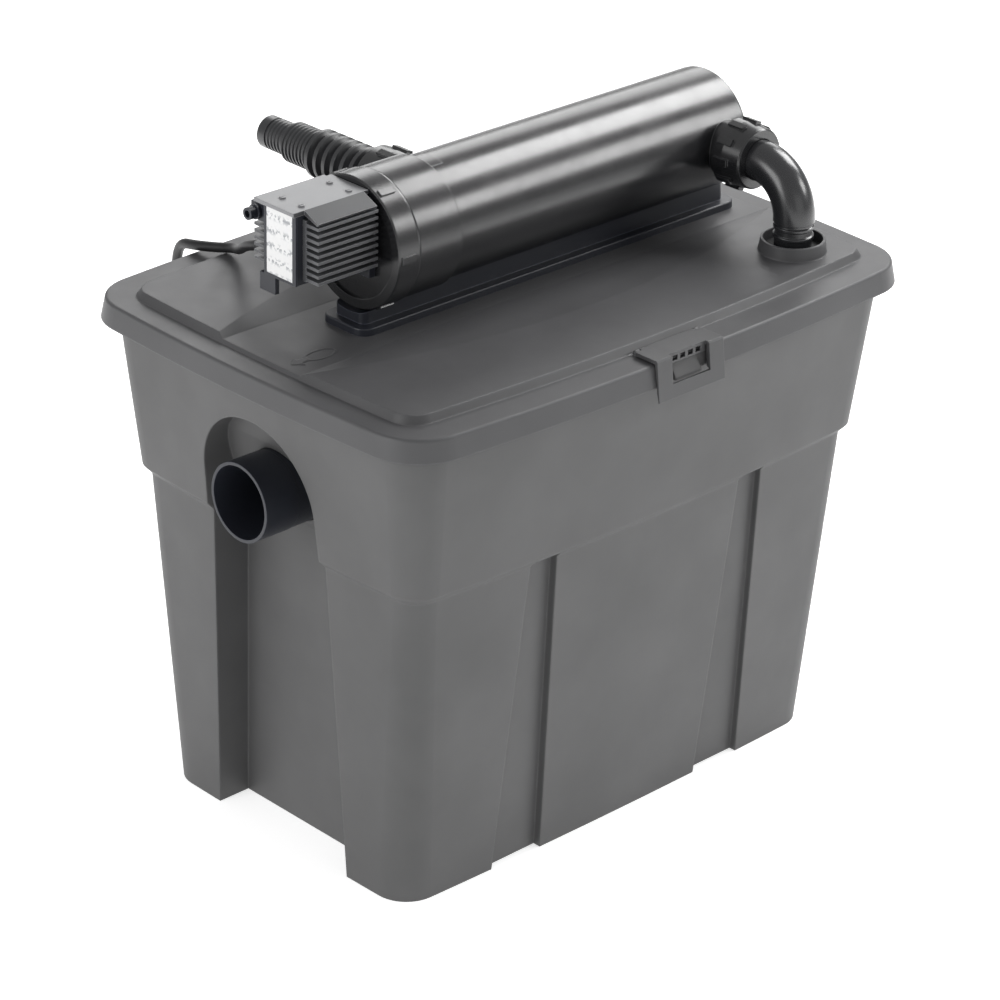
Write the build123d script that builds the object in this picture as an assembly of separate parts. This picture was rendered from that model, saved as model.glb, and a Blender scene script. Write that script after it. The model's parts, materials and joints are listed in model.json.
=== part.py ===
from build123d import *
import math
import os

# Pond box filter with an ultraviolet clarifier on its lid.
# X runs along the box, with the outlet at -X. The front with the first clasp is at -Y. +Z is up.
# The origin is the centre of the tub's base, on the floor. All sizes are in millimetres.

# ---------------------------------------------------------------- driving dimensions
LID_HALF_LENGTH = 284.8     # at the middle of each end, along the skirt's top edge
LID_HALF_WIDTH = 205.6      # at the middle of each long side
LID_CORNER = 44.0
LID_TOP = 437.5             # flat rim of the lid
SKIRT_BOTTOM = 419.0
SKIRT_FLARE = 3.56          # the skirt leans out by this much at its foot
PLATEAU_TOP = 444.0
VALLEY_FLOOR = 440.5

TUB_WALL = 4.0
LID_WALL = 3.0
BAND_TOP = 420.5            # head of the tub's wide upper band, under the lid's overhanging skirt
BAND_BOTTOM = 289.5         # foot of that band
BODY_TOP = 282.0            # head of the narrower lower body
RIM_TOP = 432.0

TUBE_Z = 511.0              # axis of the clarifier's housing
TUBE_R = 51.0
TUBE_WALL = 3.0
TUBE_END = 229.5
MOUTH_X = -151.0            # open end of the housing
SOCKET_LOW = -143.0         # socket of the housing, under the lock ring's edge
SOCKET_END = -98.5

PIPE_Z = 323.0              # axis of the outlet pipe
PIPE_R = 33.3
PIPE_MOUTH = -283.5
PIPE_SPIGOT = 33.5          # length of the full-size stretch that a hose or sleeve goes over

ELBOW_X = 206.0
ELBOW_PIPE_R = 17.4
ELBOW_FOOT_R = 15.6         # narrower foot that plugs into the grommet
ELBOW_BEND = 40.0
ELBOW_DROP_Y = -127.5       # where the elbow goes down through the lid
HOSE_X = -58.5              # axis of the stepped hose tail

CLASP_HALF = 37.0
CLASP_PIN_Y = 182.6
CLASP_PIN_Z = 439.9
CLASP_BARREL_R = 2.0
CLASP_PIN_R = 1.0

CORD_R = 4.25
GAP = 0.4                   # working clearance between parts that move past each other
FIT = 0.05                  # radial clearance of a pin, screw or plug in its hole
SCREW_R = 1.6

PARTS = {}


def keep(name, shape):
    """Store one sub-part under the name of its node."""
    PARTS[name] = shape
    return shape


# ---------------------------------------------------------------- shared shapes
def outline(z, half_length, half_width, corner, bow_long, bow_short, inset=0.0):
    """Flat face with four bulging sides and round corners; the half sizes are at mid side."""
    x = half_length - bow_short - inset
    y = half_width - bow_long - inset
    mid_x = half_length - inset
    mid_y = half_width - inset
    front = ThreePointArc((-x, -y), (0, -mid_y), (x, -y))
    right = ThreePointArc((x, -y), (mid_x, 0), (x, y))
    back = ThreePointArc((x, y), (0, mid_y), (-x, y))
    left = ThreePointArc((-x, y), (-mid_x, 0), (-x, -y))
    face = make_face([front, right, back, left])
    return Pos(0, 0, z) * fillet(face.vertices(), max(corner - inset, 4.0))


def skirt_outline(z, inset=0.0):
    """The lid's skirt at height z: it flares from its top edge down to its foot."""
    flare = SKIRT_FLARE * (LID_TOP - z) / (LID_TOP - SKIRT_BOTTOM)
    size = (LID_HALF_LENGTH + flare, LID_HALF_WIDTH + flare, LID_CORNER + flare)
    return outline(z, *size, 12.4, 7.9, inset)


TUB_LEVELS = [              # height, half length, half width, corner, bow of long and short sides
    (0.0, 241.0, 151.4, 30.0, 4.6, 1.5),
    (BODY_TOP, 254.1, 174.9, 25.0, 9.9, 5.6),
    (BAND_BOTTOM, 260.8, 181.6, 28.0, 10.4, 6.4),
    (BAND_TOP, 274.6, 195.6, 36.0, 11.5, 7.2),
]


def stack(faces):
    """Solid through a pile of faces, with straight sides between them."""
    return loft(faces, ruled=True)


def rod(radius, length):
    """Cylinder standing on the XY plane."""
    return Cylinder(radius, length, align=(Align.CENTER, Align.CENTER, Align.MIN))


def ring(outer, inner, length):
    """Round tube standing on the XY plane."""
    return rod(outer, length) - Pos(0, 0, -1) * rod(inner, length + 2)


def turned(points):
    """Solid of revolution about Z from (radius, height) points."""
    line = Polyline(*[(r, 0, h) for r, h in points], close=True)
    return revolve(make_face(line), Axis.Z)


def box(low, high):
    """Box between two opposite corners."""
    size = [high[i] - low[i] for i in range(3)]
    middle = [(high[i] + low[i]) / 2 for i in range(3)]
    return Pos(*middle) * Box(*size)


def along_x(shape):
    """Turn a shape built along +Z so that it points along +X."""
    return Rot(0, 90, 0) * shape


def along_minus_x(shape):
    """Turn a shape built along +Z so that it points along -X."""
    return Rot(0, -90, 0) * shape


def along_y(shape):
    """Turn a shape built along +Z so that it points along +Y."""
    return Rot(-90, 0, 0) * shape


def along_minus_y(shape):
    """Turn a shape built along +Z so that it points along -Y."""
    return Rot(90, 0, 0) * shape


def mirrored(shape):
    """The same shape on the other long side of the box."""
    return mirror(shape, Plane.XZ)


def screw(reach):
    """Slotted pan head screw along Z: the head stands on the XY plane, the shank goes down."""
    head = fillet(rod(3.6, 2.4).edges().sort_by(Axis.Z)[-1], 1.0)
    slot = Pos(0, 0, 2.0) * Box(8, 0.9, 1.6)
    return head - slot + Pos(0, 0, -reach) * rod(SCREW_R, reach + 0.1)


def prism_x(points, x0, x1):
    """Solid with a (y, z) outline between two X values."""
    face = make_face(Polyline(*[(x0, y, z) for y, z in points], close=True))
    return extrude(face, x1 - x0, dir=(1, 0, 0))


# ---------------------------------------------------------------- tub
RECESS_R = 66.0
RECESS_FOOT = 80.0          # half width of the recess at the floor
RECESS_BACK = [             # x and z of the recess's back wall, from the floor up
    (-209.5, -6.0),
    (-217.0, BODY_TOP),
    (-222.0, BAND_BOTTOM),
    (-247.0, 360.0),
    (-256.0, 400.0),
]
BOSS_FACE = -199.0          # flat face inside the tub that the outlet pipe's flange sits on
BOSS_R = 50.0
FLUTE_X = 118.0


def arch_prism(grow):
    """Arched doorway shape along X, larger by grow all round."""
    radius = RECESS_R + grow
    foot = RECESS_FOOT + grow
    left = Line((0, -foot, -5), (0, -radius, PIPE_Z))
    top = ThreePointArc((0, -radius, PIPE_Z), (0, 0, PIPE_Z + radius), (0, radius, PIPE_Z))
    right = Line((0, radius, PIPE_Z), (0, foot, -5))
    base = Line((0, foot, -5), (0, -foot, -5))
    face = Pos(-320, 0, 0) * make_face([left, top, right, base])
    return extrude(face, 140, dir=(1, 0, 0))


def recess(grow):
    """Space of the arched outlet recess, larger by grow."""
    head_z = RECESS_BACK[-1][1]
    points = [(x + grow, z) for x, z in RECESS_BACK] + [(-330, head_z), (-330, -6)]
    face = make_face(Polyline(*[(x, -130, z) for x, z in points], close=True))
    return arch_prism(grow) & extrude(face, 260, dir=(0, 1, 0))


def flute(x, grow):
    """Shallow groove down the front face of the lower body, widening to the floor."""
    faces = []
    for z, half, depth_y in ((-1, 27, 143.3), (BODY_TOP, 14, 165.7), (BAND_BOTTOM - 1, 12, 180.5)):
        corner_y = -(depth_y - grow)
        far_y = -240
        middle = Pos(x, (corner_y + far_y) / 2, z)
        faces.append(middle * make_face(Rectangle(2 * (half + grow), corner_y - far_y).wire()))
    return stack(faces)


def tub_shell():
    outer = stack([outline(*level) for level in TUB_LEVELS])
    ledge = BAND_TOP + 3.6                  # the rim steps out here, inside the lid's skirt
    outer += stack([skirt_outline(z, LID_WALL + 1.4) for z in (BAND_TOP, RIM_TOP)])
    levels = [(TUB_WALL,) + TUB_LEVELS[0][1:]] + TUB_LEVELS[1:3] + [(ledge,) + TUB_LEVELS[3][1:]]
    cavity = stack([outline(*level, inset=TUB_WALL) for level in levels])
    cavity += stack([skirt_outline(z, LID_WALL + 5.2) for z in (ledge, RIM_TOP + 1)])
    cavity -= recess(TUB_WALL)
    outer -= recess(0)
    for x in (-FLUTE_X, FLUTE_X):
        for side in (lambda s: s, mirrored):
            outer -= side(flute(x, 0))
            cavity -= side(flute(x, TUB_WALL))
    return outer - cavity


def catch_nose():
    """Ramp on the tub's rim that a clasp snaps over."""
    points = [(-199.5, 430), (-202.6, 430), (-208.0, 421), (-208.0, 418.8), (-199.5, 418.8)]
    return prism_x(points, -14.5, 14.5)


def outlet_boss():
    """Round boss behind the recess, with a flat face for the outlet pipe's flange."""
    boss = Pos(-250, 0, PIPE_Z) * along_x(rod(BOSS_R, BOSS_FACE + 250))
    boss -= recess(TUB_WALL / 2)
    for y, z in flange_screw_places():
        boss -= Pos(BOSS_FACE - 9, y, z) * along_x(rod(SCREW_R + FIT, 12))
    return boss


def flange_screw_places():
    """Four (y, z) places round the outlet pipe's flange."""
    reach = 43.5 / math.sqrt(2)
    return [(sy * reach, PIPE_Z + sz * reach) for sy in (-1, 1) for sz in (-1, 1)]


def make_tub():
    body = tub_shell() + outlet_boss()
    body -= Pos(-280, 0, PIPE_Z) * along_x(rod(PIPE_R + 0.1, 100))
    nose = catch_nose()
    body += nose + mirrored(nose)
    for y in (-60, 60):                     # rails that hold the inlet baffle
        for x in (BAFFLE_X - 6.5, BAFFLE_X + 2.5):
            body += box((x, y - 8, TUB_WALL - 1), (x + 4, y + 8, 60))
    return keep("tub", body)


# ---------------------------------------------------------------- outlet
def make_outlet():
    face = BOSS_FACE - PIPE_MOUTH
    bore_r = PIPE_R - 2.6
    pipe = ring(PIPE_R, bore_r, PIPE_SPIGOT) + ring(PIPE_R - 0.4, bore_r, face + 8)
    pipe += Pos(0, 0, face + 2) * ring(BOSS_R - 1, bore_r, 4)
    shape = Pos(PIPE_MOUTH, 0, PIPE_Z) * along_x(pipe)
    gasket = Pos(BOSS_FACE, 0, PIPE_Z) * along_x(ring(BOSS_R - 1, PIPE_R + 0.1, 2))
    screws = []
    for y, z in flange_screw_places():
        hole = Pos(BOSS_FACE - 1, y, z) * along_x(rod(2.1, 12))
        shape -= hole
        gasket -= hole
        screws.append(Pos(BOSS_FACE + 6, y, z) * along_x(screw(13.0)))
    keep("outlet_pipe", shape)
    keep("outlet_gasket", gasket)
    keep("outlet_screws", Compound(screws))


# ---------------------------------------------------------------- filter media
BAFFLE_X = 168.0
FOAM_BOTTOM = 30.0
FOAM_TOP = 292.0
FOAM_WIDE = 84.0            # along Y
FOAM_PITCH = 88.0
FOAM_LONG = 118.0           # along X
COARSE_X = 88.0             # middle of the coarse row
FINE_X = -72.0              # middle of the fine row


def floor_grid():
    """Slotted grid on short legs that carries the foams clear of the sludge."""
    low, high = (-142, -134, 16), (154, 134, 22)
    grid = box(low, high)
    for row in range(-5, 6):
        for column in range(-3, 4):
            x = 6 + row * 26
            y = column * 36
            grid -= box((x - 8, y - 14, 10), (x + 8, y + 14, 30))
    for x in (-136, 19, 148):
        for y in (-128, 0, 128):
            grid += Pos(x, y, TUB_WALL) * rod(5, 14)
    return grid


def foam_block(x, y):
    """Upright foam with round edges and a hole for its holder."""
    low = (x - FOAM_LONG / 2, y - FOAM_WIDE / 2, FOAM_BOTTOM)
    block = box(low, (x + FOAM_LONG / 2, y + FOAM_WIDE / 2, FOAM_TOP))
    block = fillet(block.edges().filter_by(Axis.Z), 6)
    return block - Pos(x, y, FOAM_BOTTOM - 5) * rod(9, 300)


def foam_holder(x, y):
    """Foot plate, rod and top grip that lift one foam out."""
    foot = box((x - 50, y - 34, 24), (x + 50, y + 34, FOAM_BOTTOM - GAP))
    shape = foot + Pos(x, y, 24) * rod(8.6, FOAM_TOP - 24 + 14)
    grip = box((x - 38, y - 30, FOAM_TOP + GAP), (x + 38, y + 30, FOAM_TOP + 6))
    for side in (-1, 1):
        grip -= box((x + side * 22 - 11, y - 22, FOAM_TOP - 5), (x + side * 22 + 11, y + 22, FOAM_TOP + 10))
    bow = box((x - 4, y - 26, FOAM_TOP + 5), (x + 4, y + 26, FOAM_TOP + 32))
    bow -= box((x - 6, y - 19, FOAM_TOP + 6), (x + 6, y + 19, FOAM_TOP + 25))
    return shape + grip + bow


def make_media():
    keep("floor_grid", floor_grid())
    for name, x in (("coarse", COARSE_X), ("fine", FINE_X)):
        for number, row in enumerate((-1, 0, 1), start=1):
            keep(f"{name}_foam_{number}", foam_block(x, row * FOAM_PITCH))
            keep(f"{name}_holder_{number}", foam_holder(x, row * FOAM_PITCH))
    baffle = box((BAFFLE_X - 2, -132, TUB_WALL + 1), (BAFFLE_X + 2, 132, 250))
    for row in range(6):
        for column in range(-3, 4):
            middle_y = column * 34
            z = 92 + row * 24
            baffle -= box((BAFFLE_X - 5, middle_y - 12, z), (BAFFLE_X + 5, middle_y + 12, z + 10))
    keep("inlet_baffle", baffle)


# ---------------------------------------------------------------- lid
COLLAR_RIM = 455.0
NOTCH_HALF = 23.0           # half width of the opening in the skirt behind each clasp
LUG_IN, LUG_OUT = 30.6, 35.2    # the lid's two ears reach from here to here, either side of the middle


def plateau(inset, low, high):
    foot = outline(low, 262.5, 180.0, 22, 12.0, 4.6, inset)
    head = outline(high, 258.5, 174.6, 19, 10.5, 5.4, inset)
    return stack([foot, head])


def valley():
    """Funnel-ended trough along the top of the plateau that carries the clarifier."""
    end = 270.0
    low = make_face(Polyline((-end, -46), (end, -46), (end, 46), (-end, 46), close=True))
    front = ThreePointArc((-end, -48), (0, -106), (end, -48))
    right = Line((end, -48), (end, 48))
    back = ThreePointArc((end, 48), (0, 106), (-end, 48))
    left = Line((-end, 48), (-end, -48))
    high = make_face([front, right, back, left])
    return stack([Pos(0, 0, VALLEY_FLOOR) * low, Pos(0, 0, PLATEAU_TOP + 0.4) * high])


def clasp_lugs():
    """Two ears on the lid's rim that hold a clasp's pin."""
    ears = Part()
    width = LUG_OUT - LUG_IN
    low_y = -CLASP_PIN_Y - CLASP_BARREL_R
    high_y = -CLASP_PIN_Y + CLASP_BARREL_R
    for x in (-LUG_OUT, LUG_IN):
        ear = box((x, low_y, LID_TOP - 1), (x + width, high_y, CLASP_PIN_Z))
        ear += Pos(x, -CLASP_PIN_Y, CLASP_PIN_Z) * along_x(rod(CLASP_BARREL_R, width))
        ears += ear - Pos(x - 1, -CLASP_PIN_Y, CLASP_PIN_Z) * along_x(rod(CLASP_PIN_R, width + 2))
    return ears


def flow_mark():
    """Raised arrow in an oval on the valley's floor, pointing to the outlet."""
    oval = Ellipse(15, 8) - Ellipse(13.6, 6.6)
    tip = [(-24, 0), (-15, -7), (-15, -3), (-6, -3), (-6, 3), (-15, 3), (-15, 7)]
    arrow = make_face(Polyline(*tip, close=True))
    shape = extrude(Pos(6, 0, 0) * oval, 0.6) + extrude(arrow, 0.6)
    return Pos(-228, -26, VALLEY_FLOOR - 0.2) * shape


def make_lid():
    body = stack([skirt_outline(SKIRT_BOTTOM), skirt_outline(LID_TOP)])
    top_edges = body.faces().sort_by(Axis.Z)[-1].edges()
    body = fillet(top_edges, 2.5)
    body += plateau(0, LID_TOP - 1, PLATEAU_TOP)
    body -= valley()
    inside = stack([skirt_outline(SKIRT_BOTTOM - 1, LID_WALL), skirt_outline(LID_TOP - 3.5, LID_WALL)])
    inside += plateau(7, LID_TOP - 4.5, VALLEY_FLOOR - 3.2)
    body -= inside
    cone = turned([(0, 438), (29.5, 438), (28.5, PLATEAU_TOP), (27, COLLAR_RIM), (0, COLLAR_RIM)])
    body += Pos(ELBOW_X, ELBOW_DROP_Y, 0) * cone
    body -= Pos(ELBOW_X, ELBOW_DROP_Y, 430) * rod(25, 40)
    for x, y in stand_screw_places():
        body -= Pos(x, y, VALLEY_FLOOR - 6) * rod(SCREW_R + FIT, 12)
    for side in (lambda s: s, mirrored):
        body -= side(box((-NOTCH_HALF, -230, 410), (NOTCH_HALF, -200.3, 450)))
        body += side(clasp_lugs())
    body += flow_mark()
    return keep("lid", body)


def make_lid_fittings():
    ceiling = LID_TOP - 3.5
    seal = stack([skirt_outline(ceiling - 2.5, 8.4), skirt_outline(ceiling, 8.4)])
    seal -= stack([skirt_outline(ceiling - 3, 12.4), skirt_outline(ceiling + 1, 12.4)])
    keep("lid_seal", seal)
    grommet = turned([
        (ELBOW_FOOT_R, ceiling - 3), (30, ceiling - 3), (30, ceiling - 0.1), (24.9, ceiling - 0.1),
        (24.9, 446), (22.5, 447.5), (ELBOW_FOOT_R, 447.5),
    ])
    keep("elbow_grommet", Pos(ELBOW_X, ELBOW_DROP_Y, 0) * grommet)
    pin = Pos(-LUG_OUT, -CLASP_PIN_Y, CLASP_PIN_Z) * along_x(rod(CLASP_PIN_R, 2 * LUG_OUT))
    keep("front_clasp_pin", pin)
    keep("rear_clasp_pin", mirrored(pin))


# ---------------------------------------------------------------- clasps
def clasp():
    """Front clasp: a hinged plate whose frame hangs over the skirt and the catch."""
    top_z = CLASP_PIN_Z + CLASP_BARREL_R
    points = [
        (-CLASP_PIN_Y - 2.6, top_z), (-207.6, top_z), (-209.2, 440.2), (-213.2, 407.5), (-212.2, 407.5),
        (-209.8, 415.5), (-209.8, 418.6), (-206.5, 438.9), (-CLASP_PIN_Y - 2.6, 438.9),
    ]
    body = prism_x(points, -CLASP_HALF, CLASP_HALF)
    reach = LUG_IN - 0.6
    body += box((-reach, -CLASP_PIN_Y - 3, 438.9), (reach, -CLASP_PIN_Y, top_z))
    body += Pos(-reach, -CLASP_PIN_Y, CLASP_PIN_Z) * along_x(rod(CLASP_BARREL_R, 2 * reach))
    body -= Pos(-reach - 1, -CLASP_PIN_Y, CLASP_PIN_Z) * along_x(rod(CLASP_PIN_R + FIT, 2 * reach + 2))
    body -= box((-21, -220, 419), (21, -204.6, 445))
    grille = box((-21.5, -204.7, 433), (21.5, -202.5, top_z))
    for column in range(4):
        x = -15.5 + column * 8.6
        grille -= box((x, -206, 434.6), (x + 5.6, -201, 439.2))
    return body + grille


def make_clasps():
    shape = clasp()
    keep("front_clasp", shape)
    keep("rear_clasp", mirrored(shape))


# ---------------------------------------------------------------- clarifier housing
STAND_LOW, STAND_HIGH = -178.0, 249.0
STAND_HALF = 26.0
STAND_PLATE = 6.5
WEB_LOW, WEB_HIGH = -170.0, 240.0
WEB_HALF = 17.5
SOCKET_R = 54.0
SPIGOT_R = 23.0


def stand_screw_places():
    """(x, y) places of the screws that hold the stand from under the lid."""
    return [(x, y) for x in (-140, -20, 100, 220) for y in (-21.8, 21.8)]


def rounded_plate(x0, x1, half_width, z0, z1, radius):
    face = Pos((x0 + x1) / 2, 0, z0) * RectangleRounded(x1 - x0, 2 * half_width, radius)
    return extrude(face, z1 - z0)


def make_stand():
    plate_top = VALLEY_FLOOR + STAND_PLATE
    plate = rounded_plate(STAND_LOW, STAND_HIGH, STAND_HALF, VALLEY_FLOOR, plate_top, 12)
    plate = fillet(plate.faces().sort_by(Axis.Z)[-1].edges(), 1.5)
    web = rounded_plate(WEB_LOW, WEB_HIGH, WEB_HALF, plate_top - 1, TUBE_Z - 30, 6)
    wall = 4.0
    hollow = box((WEB_LOW + 8, wall - WEB_HALF, plate_top), (WEB_HIGH - 8, WEB_HALF - wall, TUBE_Z))
    for x in (-24, 102):
        hollow -= box((x - 1.5, -WEB_HALF, VALLEY_FLOOR), (x + 1.5, WEB_HALF, TUBE_Z))
    body = plate + (web - hollow)
    body -= Pos(-220, 0, TUBE_Z) * along_x(rod(TUBE_R, 500))
    body -= Pos(-220, 0, TUBE_Z) * along_x(rod(SOCKET_R, 220 + SOCKET_END))
    body -= Pos(-220, 0, TUBE_Z) * along_x(rod(RING_R + 1.6, 220 + SOCKET_LOW))
    screws = []
    for x, y in stand_screw_places():
        body -= Pos(x, y, VALLEY_FLOOR - 1) * rod(SCREW_R + FIT, 6)
        screws.append(Pos(x, y, VALLEY_FLOOR - 3.2) * Rot(180, 0, 0) * screw(8.0))
    keep("uv_stand", body)
    keep("stand_screws", Compound(screws))


def make_housing():
    bore_r = TUBE_R - TUBE_WALL
    body = Pos(MOUTH_X, 0, TUBE_Z) * along_x(rod(TUBE_R, TUBE_END - MOUTH_X))
    body = fillet(body.faces().sort_by(Axis.X)[-1].edges(), 2.5)
    socket = Pos(SOCKET_LOW, 0, TUBE_Z) * along_x(rod(SOCKET_R, SOCKET_END - SOCKET_LOW))
    body += fillet(socket.faces().sort_by(Axis.X)[-1].edges(), 1.2)
    body += Pos(MOUTH_X, 0, TUBE_Z) * along_x(rod(TUBE_R + 0.6, SOCKET_LOW - MOUTH_X + 1))
    inlet = Pos(HOSE_X, 0, TUBE_Z) * along_y(rod(SPIGOT_R, 76))
    outlet = Pos(ELBOW_X, 0, TUBE_Z) * along_minus_y(rod(SPIGOT_R, 68))
    body += inlet + outlet
    body -= Pos(HOSE_X, 20, TUBE_Z) * along_y(rod(18, 60))
    body -= Pos(ELBOW_X, -20, TUBE_Z) * along_minus_y(rod(16, 60))
    # small raised pad on the crown, just past the socket
    pad = box((SOCKET_END, -14, TUBE_Z + 46), (SOCKET_END + 14, 14, TUBE_Z + TUBE_R + 1))
    body += pad & (Pos(SOCKET_END - 1, 0, TUBE_Z) * along_x(rod(TUBE_R + 0.5, 20)))
    body -= Pos(MOUTH_X - 1, 0, TUBE_Z) * along_x(rod(bore_r, TUBE_END - MOUTH_X - 3))
    keep("uv_housing", body)


# ---------------------------------------------------------------- elbow and unions
ELBOW_COLLAR_Y = -70.0
ELBOW_FOOT_TOP = 470.0
ELBOW_FOOT_LOW = 425.0
ELBOW_WALL = 2.4


def quarter_bend(radius):
    """Quarter torus from the level run down to the vertical leg."""
    centre_y = ELBOW_DROP_Y + ELBOW_BEND
    section = Pos(ELBOW_X, centre_y, TUBE_Z) * (Plane.XZ * Circle(radius))
    axis = Axis((ELBOW_X, centre_y, TUBE_Z - ELBOW_BEND), (1, 0, 0))
    return revolve(section, axis, 90)


def pipe_run(radius, foot_radius, foot_low):
    """Level run, bend and drop of the elbow as one solid, with a foot of its own radius."""
    centre_y = ELBOW_DROP_Y + ELBOW_BEND
    drop_z = TUBE_Z - ELBOW_BEND
    run = Pos(ELBOW_X, ELBOW_COLLAR_Y, TUBE_Z) * along_minus_y(rod(radius, ELBOW_COLLAR_Y - centre_y))
    run += quarter_bend(radius)
    run += Pos(ELBOW_X, ELBOW_DROP_Y, ELBOW_FOOT_TOP) * rod(radius, drop_z - ELBOW_FOOT_TOP)
    return run + Pos(ELBOW_X, ELBOW_DROP_Y, foot_low) * rod(foot_radius, ELBOW_FOOT_TOP - foot_low)


def make_elbow():
    bore_r = ELBOW_PIPE_R - ELBOW_WALL
    foot_bore_r = ELBOW_FOOT_R - ELBOW_WALL
    body = pipe_run(ELBOW_PIPE_R, ELBOW_FOOT_R, ELBOW_FOOT_LOW)
    body += Pos(ELBOW_X, ELBOW_COLLAR_Y, TUBE_Z) * along_minus_y(rod(20.5, 5))
    for z in (465.5, 457.5):
        bead_r = ELBOW_FOOT_R + 1.4
        bead = turned([
            (foot_bore_r, z - 2), (ELBOW_FOOT_R, z - 2), (bead_r, z - 1), (bead_r, z + 1),
            (ELBOW_FOOT_R, z + 2), (foot_bore_r, z + 2),
        ])
        body += Pos(ELBOW_X, ELBOW_DROP_Y, 0) * bead
    body -= pipe_run(bore_r, foot_bore_r, ELBOW_FOOT_LOW - 1)
    body -= Pos(ELBOW_X, ELBOW_COLLAR_Y + 1, TUBE_Z) * along_minus_y(rod(bore_r, 8))
    keep("elbow", body)
    keep("elbow_o_ring", Pos(ELBOW_X, ELBOW_COLLAR_Y + 2, TUBE_Z) * along_minus_y(ring(20.5, 16, 2)))
    pipe_low = 130.0
    pipe = ring(ELBOW_FOOT_R + 3, ELBOW_FOOT_R + FIT, 430 - pipe_low)
    for row in range(8):
        for angle in (0, 60, 120):
            pipe -= Pos(0, 0, 15 + row * 16) * Rot(0, 0, angle) * along_x(Pos(0, 0, -30) * rod(4, 60))
    keep("down_pipe", Pos(ELBOW_X, ELBOW_DROP_Y, pipe_low) * pipe)


def union_nut(back_r, front_r, lip_r, length, lip):
    """Ribbed union nut along +Z from its open back to its lip."""
    bore_r = SPIGOT_R + GAP
    body = turned([
        (bore_r, 0), (back_r, 0), (back_r, length * 0.35), (front_r + 0.6, length - 1.5),
        (front_r - 0.6, length), (lip_r, length), (lip_r, length - lip), (bore_r, length - lip),
    ])
    for number in range(10):
        rib = box((bore_r + 1, -3.2, 2), (back_r + 1.6, 3.2, length * 0.62))
        body += Rot(0, 0, number * 36) * rib
    return body


def make_unions():
    nut = union_nut(28.0, 25.3, ELBOW_PIPE_R + GAP, 28, 11)
    keep("elbow_union_nut", Pos(ELBOW_X, -58, TUBE_Z) * along_minus_y(nut))
    keep("hose_tail_seal", Pos(HOSE_X, HOSE_COLLAR_Y - 2, TUBE_Z) * along_y(ring(20.5, 17, 2)))
    nut = union_nut(28.0, 26.0, HOSE_NECK_R + GAP, 32, 8)
    keep("inlet_union_nut", Pos(HOSE_X, 59.5, TUBE_Z) * along_y(nut))


# ---------------------------------------------------------------- hose tail
HOSE_BORE = 10.5
HOSE_NECK_R = 17.6
HOSE_TIP_R = 14.0
HOSE_COLLAR_Y = 78.0
HOSE_STEPS = [              # start along Y, end, root radius, ridge radius, ridge pitch
    (98.0, 162.0, 16.5, 21.0, 10.6),
    (162.0, 194.0, 16.3, 17.6, 4.4),
    (194.0, 216.0, 13.0, 14.1, 4.2),
]
HOSE_LAND = 216.0           # plain stretch before the tip
HOSE_TIP = 225.0


def hose_profile():
    """(radius, distance) points of the stepped tail, ridge after ridge."""
    first = HOSE_STEPS[0][0] - HOSE_COLLAR_Y
    land = HOSE_LAND - HOSE_COLLAR_Y
    tip = HOSE_TIP - HOSE_COLLAR_Y
    points = [(HOSE_BORE, 0), (20.5, 0), (20.5, 5), (HOSE_NECK_R, 5), (HOSE_NECK_R, first)]
    for start, end, root, ridge, pitch in HOSE_STEPS:
        count = int((end - start) / pitch)
        for number in range(count):
            y = start - HOSE_COLLAR_Y + number * pitch
            points += [(root, y), (ridge, y + pitch * 0.25)]
            points += [(ridge, y + pitch * 0.6), (root, y + pitch * 0.8)]
    root = HOSE_STEPS[-1][2]
    return points + [(root, land), (HOSE_TIP_R, land), (HOSE_TIP_R, tip), (HOSE_BORE, tip)]


def make_hose_tail():
    keep("hose_tail", Pos(HOSE_X, HOSE_COLLAR_Y, TUBE_Z) * along_y(turned(hose_profile())))


# ---------------------------------------------------------------- clarifier head
FLANGE_X = -164.0           # back face of the head's flange
RING_R = 55.0               # lock ring
RING_LIP_R = 46.0
BOX_X = -238.0              # front face of the ballast housing
BOX_HALF = 17.0
BOX_LOW, BOX_HIGH = 499.0, 557.0
ENTRY_X, ENTRY_Z = -190.0, 492.0    # axis of the cable entry, which runs along +Y
FIN_FRONT_Y = 35.0
FIN_REAR_Y = 40.0
FIN_COUNT = 9
FIN_PITCH = 5.6
FIN_LOW = 503.0
FIN_THICK = 2.4
PLUG_Y, PLUG_Z = 34.0, 544.5        # blanking plug beside the label


def make_head_base():
    """Flange and plug that close the housing's mouth and carry the lamp."""
    face = MOUTH_X - GAP - FLANGE_X
    plug_r = TUBE_R - TUBE_WALL - 0.5
    groove_r = plug_r - 2.4
    plug = turned([
        (0, 0), (TUBE_R + 0.8, 0), (TUBE_R + 0.8, face), (plug_r, face), (plug_r, 24), (groove_r, 24),
        (groove_r, 28), (plug_r, 28), (plug_r, 34), (40, 34), (40, 30), (23.6, 30), (23.6, 14), (0, 14),
    ])
    keep("head_base", Pos(FLANGE_X, 0, TUBE_Z) * along_x(plug))
    o_ring = ring(TUBE_R - TUBE_WALL - FIT, groove_r, 3.6)
    keep("head_o_ring", Pos(FLANGE_X + 24.2, 0, TUBE_Z) * along_x(o_ring))


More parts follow.
